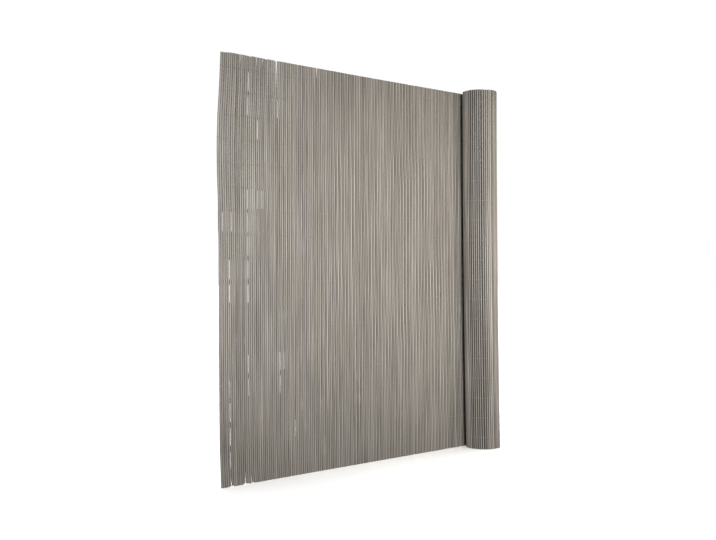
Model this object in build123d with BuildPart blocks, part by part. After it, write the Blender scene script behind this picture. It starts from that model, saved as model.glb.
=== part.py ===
"""A privacy screen mat: upright oval slats on binding threads, half unrolled, half in a standing roll."""

import os
from math import cos, pi, sin

from build123d import *

os.makedirs("parts", exist_ok=True)

# Driving dimensions in millimetres
mat_height = 1800.0  # length of every slat
slat_pitch = 11.0  # from one slat to the next along the mat
slat_thickness = 4.2  # through the middle of one slat
crest_share = 0.5  # flat crest of a slat, as a share of the pitch
web_thickness = 1.8  # where two slats touch edge to edge
weave_offset = 0.4  # the weave pushes the slats forward and back by turns
panel_slats = 145  # slats in the unrolled stretch
roll_slats = 128  # slats in the roll
roll_diameter = 184.0  # over the outer turn, where the flat stretch runs into it
turn_slack = 1.0  # loose space between two turns and their threads
thread_rows = 18
thread_thickness = 1.0
thread_clearance = 0.1  # between a thread and the crests it lies on
end_margin = 60.0  # from each end of the slats to the nearest thread
gap_width = 1.6  # where two slats have parted
gap_clearance = 8.0  # from a gap's end to the thread that stops it

# Joints between slats that have parted, each with the heights of its gaps as shares of the mat's
# height from the top. A gap takes up the whole bay between two threads, or the free end of the slats.
parted_joints = {
    2: (0.39,),
    5: (0.50, 0.555, 0.775, 0.83, 0.885, 0.94, 0.985),
    6: (0.39,),
    10: (0.015,),
    12: (0.985,),
    14: (0.06, 0.115, 0.335, 0.39, 0.445, 0.50, 0.555, 0.72, 0.775),
    15: (0.985,),
    18: (0.015,),
    19: (0.17, 0.335),
    21: (0.015, 0.335),
    28: (0.015, 0.06),
    29: (0.115,),
    30: (0.72, 0.775),
    32: (0.72,),
    38: (0.885,),
    50: (0.015,),
}

# Heights of the threads, and the reach of their two edges from the middle of the mat
row_spacing = (mat_height - 2 * end_margin) / (thread_rows - 1)
row_heights = [mat_height - end_margin - row * row_spacing for row in range(thread_rows)]
thread_inside = slat_thickness / 2 + weave_offset + thread_clearance
thread_outside = thread_inside + thread_thickness

# The mat's middle line in plan: straight along X up to the origin, then a spiral towards -Y.
# A thread goes straight over two slats at a time on the roll, so its corners stand out a little.
start_radius = roll_diameter / 2 - slat_thickness / 2 - weave_offset
thread_rise = 3 * slat_pitch**2 / (8 * start_radius)
turn_pitch = 2 * thread_outside + thread_rise + turn_slack

# Every joint between two slats: its place, and the direction of the mat's back face there
joints = []
for number in range(panel_slats):
    joints.append((Vector((number - panel_slats) * slat_pitch, 0), Vector(0, 1)))
turned = 0.0
outer_turn_slats = 0
for number in range(roll_slats + 1):
    radius = start_radius - turn_pitch * turned / (2 * pi)
    back = Vector(sin(turned), cos(turned))
    joints.append((back * radius - Vector(0, start_radius), back))
    if turned < 2 * pi:
        outer_turn_slats = number
    turned += slat_pitch / radius


def slat_face(first, last, face):
    """Plan points along one face of a run of slats, back face 1 or front face -1."""
    points = [joints[first][0] + joints[first][1] * (face * web_thickness / 2)]
    for number in range(first, last):
        start, start_back = joints[number]
        end, end_back = joints[number + 1]
        crest_back = (start_back + end_back).normalized()
        push = weave_offset if number % 2 else -weave_offset
        for share in ((1 - crest_share) / 2, (1 + crest_share) / 2):
            foot = start + (end - start) * share
            points.append(foot + crest_back * (face * slat_thickness / 2 + push))
        points.append(end + end_back * (face * web_thickness / 2))
    return points


def slat_nose(number, along):
    """Plan point at the tip of the free edge of an end slat."""
    place, back = joints[number]
    return place + Vector(back.Y, -back.X) * (along * web_thickness / 2)


def thread_edge(reach):
    """Plan points along one edge of a thread: front strand, bend, back strand and outer turn."""
    bend_x = joints[0][0].X - web_thickness / 2 - thread_clearance - (reach - thread_inside)
    points = [Vector(0, -reach), Vector(bend_x, -reach), Vector(bend_x, reach)]
    for number in range(0, outer_turn_slats + 1, 2):
        place, back = joints[panel_slats + number]
        points.append(place + back * (reach + thread_rise))
    return points


# The finished mat stands with the origin under its middle
rim = thread_edge(thread_outside)
middle_x = (min(point.X for point in rim) + max(point.X for point in rim)) / 2
middle_y = (min(point.Y for point in rim) + max(point.Y for point in rim)) / 2
plan = Plane((-middle_x, -middle_y, 0))
upright = Plane((-middle_x, -middle_y, 0), x_dir=(1, 0, 0), z_dir=(0, -1, 0))

# Slats of the unrolled stretch, edge to edge as one ridged wall
with BuildPart() as panel:
    with BuildSketch(plan):
        with BuildLine():
            Polyline(
                slat_nose(0, -1),
                *slat_face(0, panel_slats, 1),
                *reversed(slat_face(0, panel_slats, -1)),
                close=True,
            )
        make_face()
    extrude(amount=mat_height)
    # Slits where neighbouring slats have parted between two threads or at a free end
    stops = [mat_height + 2 * gap_clearance, *row_heights, -2 * gap_clearance]
    with BuildSketch(upright):
        for number, shares in parted_joints.items():
            for share in shares:
                bay = sum(height > mat_height * (1 - share) for height in row_heights)
                with Locations((joints[number][0].X, (stops[bay] + stops[bay + 1]) / 2)):
                    Rectangle(gap_width, stops[bay] - stops[bay + 1] - 2 * gap_clearance)
    extrude(amount=slat_thickness, both=True, mode=Mode.SUBTRACT)
panel.part.label = "panel_slats"
export_step(panel.part, "parts/panel_slats.step")

# Slats of the rolled end, wound into one standing roll
last_joint = panel_slats + roll_slats
with BuildPart() as roll:
    with BuildSketch(plan):
        with BuildLine():
            Polyline(
                *slat_face(panel_slats, last_joint, 1),
                slat_nose(last_joint, 1),
                *reversed(slat_face(panel_slats, last_joint, -1)),
                close=True,
            )
        make_face()
    extrude(amount=mat_height)
roll.part.label = "roll_slats"
export_step(roll.part, "parts/roll_slats.step")

# Binding threads, one row at a time from the top
for row, row_height in enumerate(row_heights, start=1):
    with BuildPart() as thread:
        with BuildSketch(plan.offset(row_height)):
            with BuildLine():
                Polyline(
                    *thread_edge(thread_inside),
                    *reversed(thread_edge(thread_outside)),
                    close=True,
                )
            make_face()
        extrude(amount=thread_thickness / 2, both=True)
    thread.part.label = f"binding_thread_{row:02d}"
    export_step(thread.part, f"parts/binding_thread_{row:02d}.step")
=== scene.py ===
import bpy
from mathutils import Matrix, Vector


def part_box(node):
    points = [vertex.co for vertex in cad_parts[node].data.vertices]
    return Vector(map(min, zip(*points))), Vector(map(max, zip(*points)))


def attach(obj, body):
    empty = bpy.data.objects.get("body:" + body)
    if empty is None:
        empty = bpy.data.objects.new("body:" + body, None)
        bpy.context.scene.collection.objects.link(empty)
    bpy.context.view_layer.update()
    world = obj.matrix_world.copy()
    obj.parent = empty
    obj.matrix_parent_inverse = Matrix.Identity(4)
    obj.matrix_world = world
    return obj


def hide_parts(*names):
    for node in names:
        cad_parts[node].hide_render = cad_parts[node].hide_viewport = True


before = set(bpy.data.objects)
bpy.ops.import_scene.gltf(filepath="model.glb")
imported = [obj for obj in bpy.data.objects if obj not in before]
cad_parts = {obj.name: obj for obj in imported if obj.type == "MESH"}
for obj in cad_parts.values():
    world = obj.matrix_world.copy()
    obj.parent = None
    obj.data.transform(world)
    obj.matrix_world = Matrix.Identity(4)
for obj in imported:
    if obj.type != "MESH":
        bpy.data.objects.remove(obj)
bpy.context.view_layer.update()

import math
import random

import bmesh
import bpy
import numpy as np

# Slats of the unrolled stretch. Each is an oval tube of taupe PVC, extruded in long lengths and sawn off,
# so its ends are open. They stand side by side, pushed forward and back by turns where the threads are
# woven through them, and near the free edge they bow, lean and part a little.
panel_low, panel_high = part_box("panel_slats")
mat_height = panel_high[2]
panel_y = (panel_low[1] + panel_high[1]) / 2
tangent_x = panel_high[0]
panel_slats = 145
slat_pitch = 0.011
slat_width = 0.01096
slat_thickness = 0.0042
slat_wall = 0.0006
slat_hollow = 0.035
slat_sides = 10
smooth_angle = math.radians(50)
weave_offset = 0.0002
thread_rows = 18
end_margin = 0.060
row_spacing = (mat_height - 2 * end_margin) / (thread_rows - 1)
row_heights = [end_margin + row * row_spacing for row in range(thread_rows)]
chance = random.Random(41)


def deselect_all():
    if bpy.context.mode != "OBJECT":
        bpy.ops.object.mode_set(mode="OBJECT")
    bpy.ops.object.select_all(action="DESELECT")


def select_faces(piece, wanted):
    """Select the faces of the piece in edit mode whose centre and normal are wanted."""
    edit = bmesh.from_edit_mesh(piece.data)
    for face in edit.faces:
        face.select_set(wanted(face.calc_center_median(), face.normal))
    bmesh.update_edit_mesh(piece.data)


def model_slat(name, cuts):
    """One oval tube standing at the origin, hollow at both ends, with a cut across it at each height."""
    deselect_all()
    bpy.ops.mesh.primitive_cylinder_add(
        vertices=slat_sides, radius=0.5, depth=mat_height, end_fill_type="NGON",
        location=(0, 0, mat_height / 2),
    )
    slat = bpy.context.active_object
    slat.name = name
    bpy.ops.object.transform_apply(location=True, rotation=True, scale=True)
    bpy.ops.object.mode_set(mode="EDIT")
    bpy.ops.mesh.select_all(action="SELECT")
    # The width is measured across two flats, which face left and right
    across = slat_width / math.cos(math.pi / slat_sides)
    bpy.ops.transform.resize(value=(across, slat_thickness, 1), center_override=(0, 0, 0))
    for end, inward in ((mat_height, -1), (0.0, 1)):
        select_faces(slat, lambda centre, normal: abs(centre.z - end) < 1e-5 and abs(normal.z) > 0.9)
        bpy.ops.mesh.inset(thickness=slat_wall)
        bpy.ops.mesh.extrude_region_move(
            TRANSFORM_OT_translate={"value": (0, 0, inward * slat_hollow)}
        )
    for height in cuts:
        bpy.ops.mesh.select_all(action="SELECT")
        bpy.ops.mesh.bisect(plane_co=(0, 0, height), plane_no=(0, 0, 1))
    bpy.ops.object.mode_set(mode="OBJECT")
    bpy.ops.object.shade_smooth_by_angle(angle=smooth_angle)
    return slat


# The free edge's sideways shift in metres, at shares of the height from the floor, and the number of slats
# over which it dies away
free_edge_shares = (0.0, 0.03, 0.10, 0.24, 0.37, 0.50, 0.65, 0.72, 0.78, 0.86, 0.92, 1.0)
free_edge_shifts = (
    0.0107, 0.0075, 0.0026, 0.0, -0.0027, -0.0022, -0.0044, -0.0072, -0.0082, -0.0050, 0.0012, 0.0071,
)
free_edge_reach = 28

# How far the mat leans and bows sideways at the roll, over its whole height
roll_tilt = -0.030
roll_bow = 0.024


def slat_lean(along, steps, share):
    """Sideways shift of a slat, at a share of its height, as the mat stands a little askew: along is its
    place from the free edge to the roll, and steps the number of slats from the free edge."""
    up = share - 0.5
    near_roll = roll_tilt * up + roll_bow * up * up
    near_edge = math.exp(-steps / free_edge_reach) * np.interp(share, free_edge_shares, free_edge_shifts)
    return near_roll * along + near_edge


# The bulge at the free edge: its depth, the slats it takes in, and its middle and spread as shares of the
# height
bulge_depth = 0.006
bulge_slats = 9
bulge_middle = 0.78
bulge_spread = 0.14


def slat_bulge(steps, share):
    """How far a slat near the free edge bellies backwards at a share of its height."""
    depth = bulge_depth * math.exp(-steps / bulge_slats)
    return depth * math.exp(-(((share - bulge_middle) / bulge_spread) ** 2))


# Joints where two slats have parted: the height of each gap as a share from the top, and its half width in
# millimetres. It closes over a short taper at the threads, and the slats next to it give way by a share.
parted_joints = {
    2: ((0.39, 1.3),),
    5: ((0.50, 2.4), (0.555, 1.7), (0.775, 1.35), (0.83, 1.7), (0.885, 1.4), (0.94, 1.15), (0.985, 1.7)),
    6: ((0.39, 1.6),),
    10: ((0.015, 1.6),),
    12: ((0.985, 1.6),),
    14: (
        (0.06, 1.3), (0.115, 1.2), (0.335, 1.7), (0.39, 1.3), (0.445, 1.6), (0.50, 1.5), (0.555, 1.5),
        (0.72, 1.1), (0.775, 0.8),
    ),
    15: ((0.985, 1.6),),
    18: ((0.015, 1.6),),
    19: ((0.17, 1.5), (0.335, 1.65)),
    21: ((0.015, 1.8), (0.335, 2.0)),
    29: ((0.115, 1.8),),
    30: ((0.72, 1.0), (0.775, 0.72)),
    32: ((0.72, 0.85),),
    38: ((0.885, 1.0),),
    50: ((0.015, 2.4),),
}
millimetre = 0.001
gap_taper = 0.016
gap_reach = 7
give_share = 0.7

# A joint that gapes at the upper edge and closes downwards: its length, and its half width at the edge
split_joint = 28
split_length = 0.130
split_half_width = 0.0034


def giving_way(number, joint, reach):
    """Share of a gap's half width by which a slat gives way to its own side, within reach of the joint."""
    steps = number - joint if number >= joint else joint - 1 - number
    share = give_share**steps if steps <= reach else 0.0
    return share if number >= joint else -share


def parting(number, heights):
    """Sideways shift of a slat at each height where it or its neighbours stand apart."""
    shift = np.zeros(len(heights))
    for joint, gaps in parted_joints.items():
        given = giving_way(number, joint, gap_reach)
        for share, half_width in gaps:
            level = mat_height * (1 - share)
            below = [row for row in row_heights if row <= level]
            above = [row for row in row_heights if row > level]
            from_below = heights - below[-1] if below else np.full(len(heights), row_spacing)
            from_above = above[0] - heights if above else np.full(len(heights), row_spacing)
            taper = gap_taper if below and above else end_margin
            shape = np.clip(np.minimum(from_below, from_above) / taper, 0, 1)
            shift += given * half_width * millimetre * shape
    opened = np.clip((heights - mat_height + split_length) / split_length, 0, 1)
    return shift + giving_way(number, split_joint, panel_slats) * split_half_width * opened


# Drift and belly of the slats where the threads leave them loose, in patches of neighbours. The drift
# starts some slats from the free edge, grows over the next ones, and dies away at the roll.
drift_slats = 20
drift_spread = 0.0026
drift_levels = np.linspace(0, mat_height, 8)
drift_start = 12
drift_growth = 30
drift_end = 12
belly_slats = 5
belly_depth = 0.0001
belly_spread = 0.0001
warp_chance = random.Random(7)
drifts = [
    [warp_chance.gauss(0, drift_spread) for level in drift_levels]
    for patch in range(panel_slats // drift_slats + 2)
]
bellies = [
    [warp_chance.gauss(belly_depth, belly_spread) for bay in range(thread_rows)]
    for patch in range(panel_slats // belly_slats + 1)
]


def along_bays(heights):
    """Places of the heights counted in bays from the lowest thread row, up to just short of the last."""
    return np.clip((heights - row_heights[0]) / row_spacing, 0, thread_rows - 1.001)


def slat_drift(number, heights):
    """Sideways drift of a slat, shared with its neighbours."""
    place = number / drift_slats
    before, after = (np.interp(heights, drift_levels, drifts[int(place) + step]) for step in (0, 1))
    from_edge = min(max((number - drift_start) / drift_growth, 0), 1)
    from_roll = min((panel_slats - number) / drift_end, 1)
    return from_edge * from_roll * (before + (after - before) * (place % 1))


def slat_belly(number, heights):
    """How far a slat bellies out between the thread rows, forward and back by turns."""
    place = along_bays(heights)
    depth = np.array([bellies[number // belly_slats][int(spot)] for spot in place])
    swell = depth * np.sin(np.pi * (place % 1))
    return swell if number % 2 else -swell


# Shade of the slats. Each has lighter and darker stretches of its own, and every second one is painted
# darker, as painted shade for lying further back: more in some patches than in others, and most near the
# middle of the height.
tone_step = 0.11
tone_carried = 0.3
tone_fresh = 0.95
turn_slats = 6
turn_mean = 1.1
turn_spread = 0.95
turn_least = 0.75
turn_swell = 0.6
turn_middle = 0.55
turn_width = 0.22
tone_chance = random.Random(11)


def tone_stretches(spread):
    """Heights along a slat and a shade at each, somewhat like the one below it."""
    heights = np.arange(-tone_step, mat_height + 2 * tone_step, tone_step)
    heights += tone_chance.uniform(0, tone_step)
    tones = [tone_chance.gauss(0, spread)]
    while len(tones) < len(heights):
        tones.append(tone_carried * tones[-1] + tone_chance.gauss(0, tone_fresh * spread))
    return heights, tones


turn_tones = [tone_stretches(turn_spread) for patch in range(panel_slats // turn_slats + 2)]


def slat_tone(number, own, spread, turns):
    """Shade of a slat of the flat stretch along its height, with painted shade on every second slat."""
    place = number / turn_slats
    stretches = tone_stretches(spread)

    def tone(heights):
        before, after = (np.interp(heights, *turn_tones[int(place) + step]) for step in (0, 1))
        from_middle = (heights / mat_height - turn_middle) / turn_width
        looser = turn_least + turn_swell * np.exp(-(from_middle**2))
        turn = turns * looser * (turn_mean + before + (after - before) * (place % 1))
        return own + np.interp(heights, *stretches) + (turn if number % 2 else -turn)

    return tone


# Slats sawn short or slipped up at the free edge, in millimetres at their upper and lower ends. The upper
# edge sags from there to a share of the way along. Only the hollow ends of a slat are moved.
short_tops = {0: 3.2, 1: 3.4, 2: 2.4, 3: 1.4, 14: 2.5, 22: 2.5, 27: 1.5, 28: 1.0}
raised_feet = {4: 2.0, 5: 2.6, 11: 3.0, 12: 2.6, 13: 1.0, 15: 2.0}
sawn_spread = 0.0005
edge_sag = 0.0034
full_sag = 0.55
end_zone = 0.04


def stand_slat(model, centre, along, back, twist, shift_x, shift_y, top, foot, tone, width=1.0, painted_groove_shade=1.0):
    """A copy of the model slat in its place on the mat, with its own bows, ends and shade."""
    mesh = model.data.copy()
    points = np.empty(len(mesh.vertices) * 3, np.float32)
    mesh.vertices.foreach_get("co", points)
    points = points.reshape(-1, 3)
    heights = points[:, 2].copy()
    turn = np.radians(twist(heights))
    wide = width * points[:, 0] * np.cos(turn) - points[:, 1] * np.sin(turn)
    deep = width * points[:, 0] * np.sin(turn) + points[:, 1] * np.cos(turn)
    lowered = np.where(heights > mat_height - end_zone, -top, 0)
    raised = np.where(heights < end_zone, foot, 0)
    placed = np.empty_like(points)
    placed[:, 0] = centre[0] + wide * along[0] + deep * back[0] + shift_x(heights)
    placed[:, 1] = centre[1] + wide * along[1] + deep * back[1] + shift_y(heights)
    placed[:, 2] = heights + lowered + raised
    mesh.vertices.foreach_set("co", placed.astype(np.float32).ravel())
    shade = mesh.attributes.new("slat_tone", "FLOAT", "POINT")
    shade.data.foreach_set("value", tone(heights).astype(np.float32))
    # slat_edge: how far across the slat each point lies, widened by the painted groove shade that the
    # material darkens with
    edge = mesh.attributes.new("slat_edge", "FLOAT", "POINT")
    edge.data.foreach_set("value", np.abs(points[:, 0] / (slat_width / 2) * painted_groove_shade).astype(np.float32))
    mesh.update()
    slat = bpy.data.objects.new("slat", mesh)
    bpy.context.collection.objects.link(slat)
    return slat


def join_slats(slats, name):
    deselect_all()
    for slat in slats:
        slat.select_set(True)
    bpy.context.view_layer.objects.active = slats[0]
    bpy.ops.object.join()
    slats[0].name = name
    slats[0].data.name = name
    return slats[0]


bay_middles = [row + row_spacing / 2 for row in row_heights[:-1]]
bay_ends = [row + step for row in row_heights for step in (-gap_taper, gap_taper)]
fine_slat = model_slat("fine_slat", sorted(row_heights + bay_middles + bay_ends))
bowed_slat = model_slat("bowed_slat", sorted(row_heights + bay_middles))

# Unevenness from slat to slat in metres, and in degrees for the twist. Up to the last loose slat the
# joints may part, and the last slats before the roll get more painted groove shade one by one, as a painted
# shadow in the corner where the flat stretch runs in behind the roll.
loose_slats = 56
wander_carried = 0.6
wander_spread = 0.00012
bow_spread = 0.00016
twist_spread = 2.0
twist_levels = np.linspace(0, mat_height, 6)
own_tone_spread = 0.3
stretch_spread = 0.9
turns_start = 0.07
turns_growth = 0.32
turns_most = 1.1
first_shaded_slat = 140
painted_corner_shade = 1.6
panel_run = []
wander = 0.0
for number in range(panel_slats):
    wander = wander_carried * wander + chance.gauss(0, wander_spread)
    push = weave_offset if number % 2 else -weave_offset
    middle_x = tangent_x + (number + 0.5 - panel_slats) * slat_pitch + wander
    share_along = number / panel_slats
    bows = [chance.gauss(0, bow_spread) for bay in range(thread_rows + 1)]
    slat_twist = chance.gauss(0, twist_spread)
    twists = [slat_twist + warp_chance.gauss(0, twist_spread) for level in twist_levels]

    def turned_by(heights):
        return np.interp(heights, twist_levels, twists)

    def sideways(heights):
        shift = np.array([slat_lean(share_along, number, share) for share in heights / mat_height])
        place = along_bays(heights)
        shift += np.array([bows[int(spot)] for spot in place]) * np.sin(np.pi * (place % 1))
        shift += slat_drift(number, heights)
        if number < loose_slats:
            shift += parting(number, heights)
        return shift

    def backwards(heights):
        bulge = np.array([slat_bulge(number, share) for share in heights / mat_height])
        return bulge + slat_belly(number, heights)

    sag = edge_sag * min(share_along / full_sag, 1)
    top = millimetre * short_tops.get(number, 0) + sag + abs(chance.gauss(0, sawn_spread))
    foot = millimetre * raised_feet.get(number, 0) + abs(chance.gauss(0, sawn_spread))
    # Painted shade on every second slat, growing along the mat from the free edge
    turns = min(max((share_along - turns_start) / turns_growth, 0), turns_most)
    tone = slat_tone(number, chance.gauss(0, own_tone_spread), stretch_spread, turns)
    panel_run.append(
        stand_slat(
            fine_slat if number < loose_slats else bowed_slat,
            (middle_x, panel_y + push), (1, 0), (0, 1), turned_by, sideways, backwards, top, foot, tone,
            # Painted shadow: the last slats before the roll get ever wider painted groove shade
            painted_groove_shade=1 + painted_corner_shade * max(number - first_shaded_slat, 0),
        )
    )
panel_strips = join_slats(panel_run, "unrolled_slats")

slat_colour_dark = (0.191, 0.172, 0.147, 1)
slat_colour_mid = (0.305, 0.281, 0.247, 1)
slat_colour_light = (0.419, 0.391, 0.351, 1)
# Dark colour painted into the grooves between slats as painted shade
groove_shade_colour = (0.035, 0.030, 0.024, 1)
tone_base = 0.10
tone_weight = 0.15
line_weight = 0.35
cloud_weight = 0.45
grain_weight = 0.3


def pvc_material(name, dark, mid, light, groove):
    """Matt extruded PVC: a shade of its own for each slat, in part painted shade that darkens every second
    slat, drawn lines along it and a fine dull grain, with painted shade darkening the grooves along its two
    edges."""
    pvc = bpy.data.materials.new(name)
    pvc.use_nodes = True
    nodes = pvc.node_tree.nodes
    links = pvc.node_tree.links
    shader = nodes["Principled BSDF"]
    place = nodes.new("ShaderNodeTexCoord")

    tone = nodes.new("ShaderNodeAttribute")
    tone.attribute_name = "slat_tone"
    clouds_scale = nodes.new("ShaderNodeMapping")
    clouds_scale.inputs["Scale"].default_value = (6.0, 6.0, 2.2)
    clouds = nodes.new("ShaderNodeTexNoise")
    clouds.inputs["Scale"].default_value = 1.0
    clouds.inputs["Detail"].default_value = 4.0
    lines_scale = nodes.new("ShaderNodeMapping")
    lines_scale.inputs["Scale"].default_value = (900.0, 900.0, 5.0)
    lines = nodes.new("ShaderNodeTexNoise")
    lines.inputs["Scale"].default_value = 1.0
    lines.inputs["Detail"].default_value = 3.0
    grain = nodes.new("ShaderNodeTexNoise")
    grain.inputs["Scale"].default_value = 1400.0
    grain.inputs["Detail"].default_value = 2.0

    slat_part = nodes.new("ShaderNodeMath")
    slat_part.operation = "MULTIPLY_ADD"
    slat_part.inputs[1].default_value = tone_weight
    slat_part.inputs[2].default_value = tone_base
    line_part = nodes.new("ShaderNodeMath")
    line_part.operation = "MULTIPLY_ADD"
    line_part.inputs[1].default_value = line_weight
    cloud_part = nodes.new("ShaderNodeMath")
    cloud_part.operation = "MULTIPLY_ADD"
    cloud_part.inputs[1].default_value = cloud_weight
    ramp = nodes.new("ShaderNodeValToRGB")
    ramp.color_ramp.elements[0].position = 0.0
    ramp.color_ramp.elements[0].color = dark
    ramp.color_ramp.elements[1].position = 1.0
    ramp.color_ramp.elements[1].color = light
    middle = ramp.color_ramp.elements.new(0.5)
    middle.color = mid

    links.new(place.outputs["Object"], clouds_scale.inputs["Vector"])
    links.new(clouds_scale.outputs["Vector"], clouds.inputs["Vector"])
    links.new(place.outputs["Object"], lines_scale.inputs["Vector"])
    links.new(lines_scale.outputs["Vector"], lines.inputs["Vector"])
    links.new(place.outputs["Object"], grain.inputs["Vector"])
    links.new(tone.outputs["Fac"], slat_part.inputs[0])
    links.new(lines.outputs["Fac"], line_part.inputs[0])
    links.new(slat_part.outputs["Value"], line_part.inputs[2])
    links.new(clouds.outputs["Fac"], cloud_part.inputs[0])
    links.new(line_part.outputs["Value"], cloud_part.inputs[2])
    links.new(cloud_part.outputs["Value"], ramp.inputs["Fac"])

    # Painted shade: towards both edges of a slat the colour darkens to the groove colour, as if the grooves
    # lay in shade
    edge = nodes.new("ShaderNodeAttribute")
    edge.attribute_name = "slat_edge"
    painted_groove_shade = nodes.new("ShaderNodeMapRange")
    painted_groove_shade.interpolation_type = "SMOOTHSTEP"
    painted_groove_shade.inputs["From Min"].default_value = 0.42
    painted_groove_shade.inputs["From Max"].default_value = 1.0
    shaded = nodes.new("ShaderNodeMix")
    shaded.data_type = "RGBA"
    shaded.inputs["B"].default_value = groove
    links.new(edge.outputs["Fac"], painted_groove_shade.inputs["Value"])
    links.new(painted_groove_shade.outputs["Result"], shaded.inputs["Factor"])
    links.new(ramp.outputs["Color"], shaded.inputs["A"])
    links.new(shaded.outputs["Result"], shader.inputs["Base Color"])

    rough = nodes.new("ShaderNodeMapRange")
    rough.inputs["To Min"].default_value = 0.40
    rough.inputs["To Max"].default_value = 0.58
    links.new(lines.outputs["Fac"], rough.inputs["Value"])
    links.new(rough.outputs["Result"], shader.inputs["Roughness"])
    shader.inputs["Specular IOR Level"].default_value = 0.35

    relief = nodes.new("ShaderNodeMath")
    relief.operation = "MULTIPLY_ADD"
    relief.inputs[1].default_value = grain_weight
    bump = nodes.new("ShaderNodeBump")
    bump.inputs["Strength"].default_value = 0.25
    bump.inputs["Distance"].default_value = 0.0002
    links.new(grain.outputs["Fac"], relief.inputs[0])
    links.new(lines.outputs["Fac"], relief.inputs[2])
    links.new(relief.outputs["Value"], bump.inputs["Height"])
    links.new(bump.outputs["Normal"], shader.inputs["Normal"])
    return pvc


slat_pvc = pvc_material("taupe_pvc", slat_colour_dark, slat_colour_mid, slat_colour_light, groove_shade_colour)
panel_strips.data.materials.clear()
panel_strips.data.materials.append(slat_pvc)
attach(panel_strips, "root")
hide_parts("panel_slats")

# Slats of the rolled end. The same tubes, wound about three turns round an open middle towards the front
# of the flat stretch. Held only by the bending threads, they sit less evenly than the flat ones and each
# is turned a little on its own axis.
roll_slats = 128
outer_turn = 52
start_radius = 0.0895
turn_pitch = 0.0087068
rolled_width = 0.96
roll_axis = (tangent_x, panel_y - start_radius)
roll_joints = []
turned = 0.0
for number in range(roll_slats + 1):
    radius = start_radius - turn_pitch * turned / (2 * math.pi)
    back = (math.sin(turned), math.cos(turned))
    roll_joints.append(((roll_axis[0] + radius * back[0], roll_axis[1] + radius * back[1]), back))
    turned += slat_pitch / radius

# Unevenness of the rolled slats in metres, in degrees for the twist, and in their shade
push_spread = 0.0004
slip_spread = 0.0002
rolled_twist_spread = 4.5
rolled_top_spread = 0.0012
rolled_foot_spread = 0.0008
# The rolled slats are painted darker on the whole than the flat ones, as painted shade for the roll
rolled_painted_shade_mean = -0.9
rolled_tone_spread = 1.0
rolled_stretch_spread = 1.2

# Painted shade in the roll's grooves, and two sides of the roll, its front and the side next to the flat
# stretch, painted with less of it so that they look lighter: each with how squarely a slat has to face that
# way before it counts
roll_groove_shade = 2.6
shade_taken_off = 1.75
lighter_front = (math.sin(math.radians(15)), -math.cos(math.radians(15)))
front_least = 0.45
lighter_limb = (-math.sin(math.radians(45)), math.cos(math.radians(45)))
limb_least = 0.5
facing_span = 0.4


def facing(back, side, least):
    """From 0 to 1, how squarely the back of a slat faces a side of the roll."""
    return min(max((np.dot(back, side) - least) / facing_span, 0), 1)


def roll_lean(heights):
    return np.array([slat_lean(1.0, panel_slats, height / mat_height) for height in heights])


def no_shift(heights):
    return np.zeros(len(heights))


def rolled_tone(own, spread):
    """Shade of a slat of the roll along its height."""
    stretches = tone_stretches(spread)
    return lambda heights: own + np.interp(heights, *stretches)


plain_slat = model_slat("plain_slat", [mat_height / 3, mat_height * 2 / 3])
roll_run = []
for number in range(roll_slats):
    start, end = roll_joints[number][0], roll_joints[number + 1][0]
    along = np.subtract(end, start) / math.dist(start, end)
    back = (-along[1], along[0])
    push = (weave_offset if (panel_slats + number) % 2 else -weave_offset) + chance.gauss(0, push_spread)
    centre = np.add(start, end) / 2 + push * np.array(back) + chance.gauss(0, slip_spread) * along
    slat_twist = chance.gauss(0, rolled_twist_spread)
    top = abs(chance.gauss(0, rolled_top_spread))
    foot = abs(chance.gauss(0, rolled_foot_spread))
    tone = rolled_tone(chance.gauss(rolled_painted_shade_mean, rolled_tone_spread), rolled_stretch_spread)
    # Painted shade and light: slats facing the front or the flat stretch get less groove shade and look
    # lighter
    less_shaded = max(facing(back, lighter_front, front_least), facing(back, lighter_limb, limb_least))
    roll_run.append(
        stand_slat(
            bowed_slat if number < outer_turn else plain_slat,
            centre, along, back, lambda heights: slat_twist, roll_lean, no_shift, top, foot, tone,
            rolled_width, roll_groove_shade - shade_taken_off * less_shaded,
        )
    )
roll_strips = join_slats(roll_run, "rolled_slats")
roll_strips.data.materials.clear()
roll_strips.data.materials.append(slat_pvc)
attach(roll_strips, "root")
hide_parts("roll_slats")

deselect_all()
for model in (fine_slat, bowed_slat, plain_slat):
    bpy.data.objects.remove(model, do_unlink=True)

# Binding threads. Each row is a pair of thin taupe synthetic threads that cross between every two slats,
# one passing in front of a slat and the other behind it, and that meet in a loop round the first slat.
# The rows are woven while the mat is flat, and wind up with it.
thread_diameter = 0.0010
thread_reach = slat_thickness / 2 + thread_diameter / 2
strand_lift = 0.00045
loop_out = 0.0009
loop_reach = 0.0011
panel_depth = 0.004
thread_colour = (0.25, 0.232, 0.206, 1)
thread_colour_light = (0.335, 0.315, 0.285, 1)
mat_joints = [
    ((tangent_x + (number - panel_slats) * slat_pitch, panel_y), (0.0, 1.0)) for number in range(panel_slats)
] + roll_joints


def strand_points(first_side):
    """Plan points of one thread, over and under the slats by turns."""
    points = []
    side = first_side
    for number in range(len(mat_joints) - 1):
        (start, start_back), (end, end_back) = mat_joints[number], mat_joints[number + 1]
        reach = side * thread_reach + (weave_offset if number % 2 else -weave_offset)
        for share in (0.3, 0.7):
            base = [start[i] + (end[i] - start[i]) * share for i in (0, 1)]
            out = [start_back[i] + (end_back[i] - start_back[i]) * share for i in (0, 1)]
            points.append((base[0] + out[0] * reach, base[1] + out[1] * reach))
        side = -side
    return points


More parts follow.
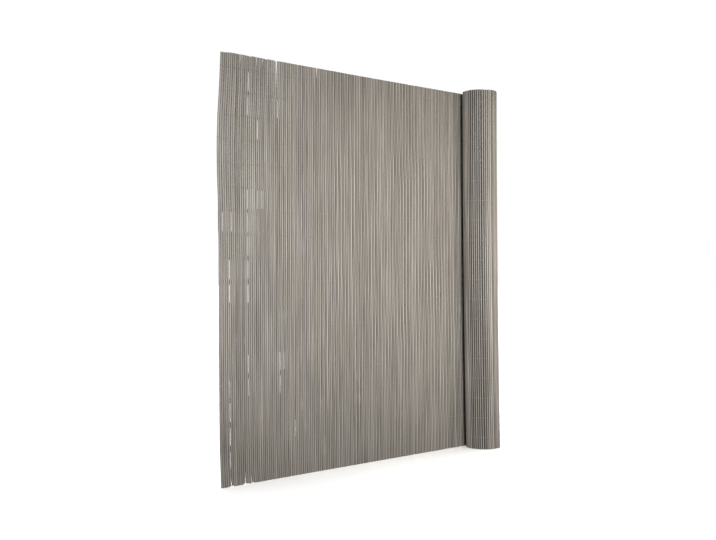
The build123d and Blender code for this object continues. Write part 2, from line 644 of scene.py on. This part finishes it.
def model_row():
    """One row of two crossing threads, made as a curve and turned into a mesh."""
    front = [(x, y, strand_lift) for x, y in strand_points(-1)]
    rear = [(x, y, -strand_lift) for x, y in strand_points(1)]
    nose_x, nose_y = mat_joints[0][0]
    loop = [(nose_x - loop_out, nose_y + reach, 0.0) for reach in (-loop_reach, 0.0, loop_reach)]
    path = front[::-1] + loop + rear
    deselect_all()
    curve = bpy.data.curves.new("row", "CURVE")
    curve.dimensions = "3D"
    curve.bevel_depth = thread_diameter / 2
    curve.bevel_resolution = 0
    curve.use_fill_caps = True
    spline = curve.splines.new("POLY")
    spline.points.add(len(path) - 1)
    for point, place in zip(spline.points, path):
        point.co = (*place, 1)
    row = bpy.data.objects.new("row", curve)
    bpy.context.collection.objects.link(row)
    row.select_set(True)
    bpy.context.view_layer.objects.active = row
    bpy.ops.object.convert(target="MESH")
    bpy.ops.object.shade_smooth()
    return row


def thread_material(name, colour, light):
    """Twisted synthetic thread: fine slanting strands, dull, in the slats' own shade."""
    thread = bpy.data.materials.new(name)
    thread.use_nodes = True
    nodes = thread.node_tree.nodes
    links = thread.node_tree.links
    shader = nodes["Principled BSDF"]
    place = nodes.new("ShaderNodeTexCoord")
    slant = nodes.new("ShaderNodeMapping")
    slant.inputs["Rotation"].default_value = (0, math.radians(35), 0)
    twist = nodes.new("ShaderNodeTexWave")
    twist.inputs["Scale"].default_value = 700.0
    twist.inputs["Distortion"].default_value = 1.5
    shades = nodes.new("ShaderNodeValToRGB")
    shades.color_ramp.elements[0].color = colour
    shades.color_ramp.elements[1].color = light
    bump = nodes.new("ShaderNodeBump")
    bump.inputs["Strength"].default_value = 0.5
    bump.inputs["Distance"].default_value = 0.0002
    links.new(place.outputs["Object"], slant.inputs["Vector"])
    links.new(slant.outputs["Vector"], twist.inputs["Vector"])
    links.new(twist.outputs["Fac"], shades.inputs["Fac"])
    links.new(shades.outputs["Color"], shader.inputs["Base Color"])
    links.new(twist.outputs["Fac"], bump.inputs["Height"])
    links.new(bump.outputs["Normal"], shader.inputs["Normal"])
    shader.inputs["Roughness"].default_value = 0.6
    return thread


row_model = model_row()
thread_finish = thread_material("taupe_thread", thread_colour, thread_colour_light)
for row in range(thread_rows):
    height = mat_height - end_margin - row * row_spacing
    share = height / mat_height
    name = f"woven_thread_{row + 1:02d}"
    mesh = row_model.data.copy()
    mesh.name = name
    points = np.empty(len(mesh.vertices) * 3, np.float32)
    mesh.vertices.foreach_get("co", points)
    points = points.reshape(-1, 3)
    for point in points:
        along = min(max((point[0] - panel_low[0]) / (tangent_x - panel_low[0]), 0), 1)
        on_panel = point[1] > panel_y - panel_depth
        steps = along * panel_slats if on_panel else panel_slats
        point[0] += slat_lean(along if on_panel else 1.0, steps, share)
        point[1] += slat_bulge(steps, share)
        point[2] += height
    mesh.vertices.foreach_set("co", points.ravel())
    mesh.update()
    thread = bpy.data.objects.new(name, mesh)
    bpy.context.collection.objects.link(thread)
    thread.data.materials.clear()
    thread.data.materials.append(thread_finish)
    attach(thread, "root")
    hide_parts(f"binding_thread_{row + 1:02d}")
bpy.data.objects.remove(row_model, do_unlink=True)

# The studio: a wide pale floor under a sky that is white to the camera, lit softly from overhead, from the
# left and the back, by a far spot at the front left that fades up and down, and by two soft boxes near the
# roll. A level camera at half the mat's height looks along the mat from its free edge.
floor_radius = 60.0
floor_rim = 50.0
floor_colour = (0.97, 0.97, 0.97, 1)
camera_place = (-3.6487, -3.5171, 0.8986)
camera_turn = math.radians(45.073)
deselect_all()
bpy.ops.mesh.primitive_circle_add(vertices=96, radius=floor_radius, fill_type="NGON", location=(0, 0, 0))
floor = bpy.context.active_object
floor.name = "studio_floor"
bpy.ops.object.mode_set(mode="EDIT")
bpy.ops.mesh.select_all(action="SELECT")
bpy.ops.mesh.inset(thickness=floor_rim)
bpy.ops.object.mode_set(mode="OBJECT")
floor_paint = bpy.data.materials.new("pale_floor")
floor_paint.use_nodes = True
floor_paint.node_tree.nodes["Principled BSDF"].inputs["Base Color"].default_value = floor_colour
floor_paint.node_tree.nodes["Principled BSDF"].inputs["Roughness"].default_value = 0.9
floor.data.materials.append(floor_paint)
floor.visible_diffuse = False

studio = bpy.data.worlds.new("studio")
bpy.context.scene.world = studio
studio.use_nodes = True
studio_nodes = studio.node_tree.nodes
studio_links = studio.node_tree.links
room_light = studio_nodes["Background"]
room_light.inputs["Color"].default_value = (1.0, 0.98, 0.95, 1)
room_light.inputs["Strength"].default_value = 0.12
white_backdrop = studio_nodes.new("ShaderNodeBackground")
white_backdrop.inputs["Color"].default_value = (1, 1, 1, 1)
white_backdrop.inputs["Strength"].default_value = 1.0
seen = studio_nodes.new("ShaderNodeLightPath")
room = studio_nodes.new("ShaderNodeMixShader")
studio_links.new(seen.outputs["Is Camera Ray"], room.inputs[0])
studio_links.new(room_light.outputs["Background"], room.inputs[1])
studio_links.new(white_backdrop.outputs["Background"], room.inputs[2])
studio_links.new(room.outputs["Shader"], studio_nodes["World Output"].inputs["Surface"])


def hang_light(name, lamp, place, target):
    holder = bpy.data.objects.new(name, lamp)
    holder.location = place
    aim = [target[i] - place[i] for i in range(3)]
    flat = math.hypot(aim[0], aim[1])
    holder.rotation_euler = (math.atan2(flat, -aim[2]), 0, math.atan2(aim[1], aim[0]) - math.pi / 2)
    holder.visible_camera = False
    bpy.context.collection.objects.link(holder)


def soft_box(name, place, target, width, height, power, colour):
    lamp = bpy.data.lights.new(name, "AREA")
    lamp.color = colour
    lamp.shape = "RECTANGLE"
    lamp.size = width
    lamp.size_y = height
    lamp.energy = power
    hang_light(name, lamp, place, target)


def far_spot(name, place, target, power, lamp_radius, cone_deg, width, colour):
    """A spotlight whose beam fades softly up and down, and is wider than it is high."""
    lamp = bpy.data.lights.new(name, "SPOT")
    lamp.color = colour
    lamp.energy = power
    lamp.shadow_soft_size = lamp_radius
    lamp.spot_size = math.radians(cone_deg)
    lamp.spot_blend = 1.0
    hang_light(name, lamp, place, target)
    bpy.data.objects[name].scale = (width, 1, 1)


def sun(name, place, target, strength, spread_deg):
    lamp = bpy.data.lights.new(name, "SUN")
    lamp.energy = strength
    lamp.angle = math.radians(spread_deg)
    hang_light(name, lamp, place, target)


sun("overhead_light", place=(0, 0, 6), target=(0, 0, 0), strength=2.5, spread_deg=40)
far_spot(
    "key_light", place=(-8.7, -12.9, 4.85), target=(0, 0, 1.03), power=12050, lamp_radius=0.7,
    cone_deg=10.2, width=5, colour=(0.99, 1.0, 1.03),
)
sun("left_light", place=(-5.0, -0.45, 2.0), target=(0, 0, 0.9), strength=1.2, spread_deg=10)
sun("back_light", place=(3.4, 3.6, 3.0), target=(0, 0, 0.9), strength=3.6, spread_deg=20)
soft_box(
    "front_light", place=(0.75, -1.5, 1.25), target=(0.75, 0, 1.25), width=1.0, height=1.3, power=10,
    colour=(1.0, 0.9, 0.74),
)
soft_box(
    "side_light", place=(1.35, -0.15, 1.0), target=(0.75, 0, 1.0), width=0.3, height=1.6, power=1.9,
    colour=(1.0, 0.97, 0.92),
)

lens = bpy.data.cameras.new("camera")
lens.sensor_width = 36.0
lens.lens = 55.51
camera = bpy.data.objects.new("camera", lens)
camera.location = camera_place
camera.rotation_euler = (math.radians(90), 0, -camera_turn)
bpy.context.collection.objects.link(camera)
bpy.context.scene.camera = camera
bpy.context.scene.view_settings.view_transform = "Standard"
